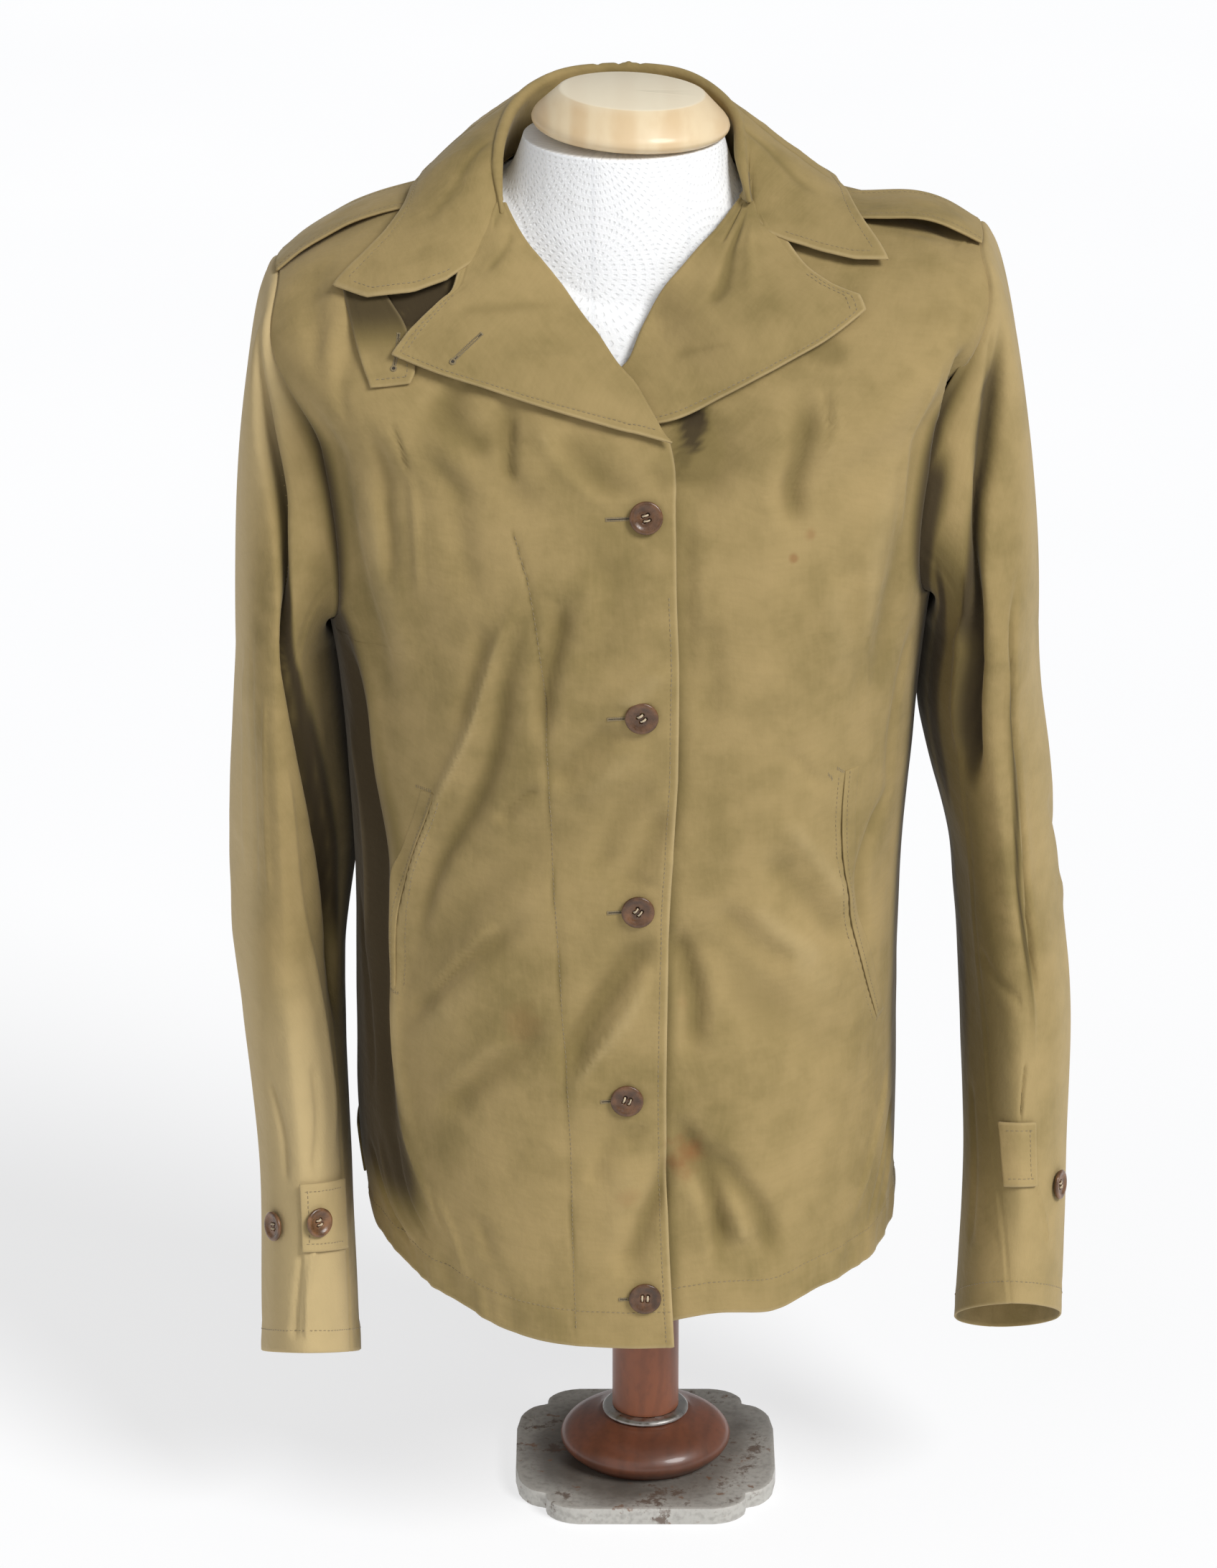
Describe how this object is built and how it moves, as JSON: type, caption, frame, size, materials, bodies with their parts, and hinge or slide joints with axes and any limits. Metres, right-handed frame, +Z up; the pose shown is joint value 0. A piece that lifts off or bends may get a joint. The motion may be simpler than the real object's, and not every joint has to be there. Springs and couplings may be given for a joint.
{
  "type": "field jacket on a limbless tabletop dress form",
  "caption": "Cotton field jacket with wide collar, lapels, shoulder straps and slash pockets, buttoned on a small dress form with a pole and a notched iron plate.",
  "frame": {"origin": "middle of the base plate's underside, on the floor, under the pole", "axes": "+Z up along the pole, -Y the way the jacket faces, +X towards the wearer's left"},
  "size_m": [0.4551, 0.2665, 0.7975],
  "materials": {
    "back": "matte woven cotton",
    "base_plate": "worn silver paint",
    "collar": "matte woven cotton",
    "cuff_button_left_1": "satin",
    "cuff_button_right_1": "satin",
    "cuff_button_right_2": "satin",
    "cuff_tab_left": "matte woven cotton",
    "cuff_tab_right": "matte woven cotton",
    "dress_form": "matte embossed",
    "flange": "gloss varnish",
    "front_button_1": "satin",
    "front_button_2": "satin",
    "front_button_3": "satin",
    "front_button_4": "satin",
    "front_button_5": "satin",
    "front_left": "matte woven cotton",
    "front_right": "matte woven cotton",
    "lapel_left": "matte woven cotton",
    "lapel_right": "matte woven cotton",
    "neck_cap": "satin",
    "pocket_welt_left": "matte woven cotton",
    "pocket_welt_right": "matte woven cotton",
    "pole": "gloss varnish",
    "pole_ring": "satin",
    "shoulder_strap_left": "matte woven cotton",
    "shoulder_strap_right": "matte woven cotton",
    "side_tab_left": "matte woven cotton",
    "side_tab_right": "matte woven cotton",
    "sleeve_left_under": "matte woven cotton",
    "sleeve_left_upper": "matte woven cotton",
    "sleeve_right_under": "matte woven cotton",
    "sleeve_right_upper": "matte woven cotton",
    "throat_tab": "matte woven cotton"
  },
  "bodies": {
    "root": {"back": "back", "base_plate": "base_plate", "collar": "collar", "cuff_button_left_1": "cuff_button_left_1", "cuff_button_right_1": "cuff_button_right_1", "cuff_button_right_2": "cuff_button_right_2", "cuff_tab_left": "cuff_tab_left", "cuff_tab_right": "cuff_tab_right", "dress_form": "dress_form", "flange": "flange", "front_button_1": "front_button_1", "front_button_2": "front_button_2", "front_button_3": "front_button_3", "front_button_4": "front_button_4", "front_button_5": "front_button_5", "front_left": "front_left", "front_right": "front_right", "lapel_left": "lapel_left", "lapel_right": "lapel_right", "neck_cap": "neck_cap", "pocket_welt_left": "pocket_welt_left", "pocket_welt_right": "pocket_welt_right", "pole": "pole", "pole_ring": "pole_ring", "shoulder_strap_left": "shoulder_strap_left", "shoulder_strap_right": "shoulder_strap_right", "side_tab_left": "side_tab_left", "side_tab_right": "side_tab_right", "sleeve_left_under": "sleeve_left_under", "sleeve_left_upper": "sleeve_left_upper", "sleeve_right_under": "sleeve_right_under", "sleeve_right_upper": "sleeve_right_upper", "throat_tab": "throat_tab"}
  },
  "joints": []
}
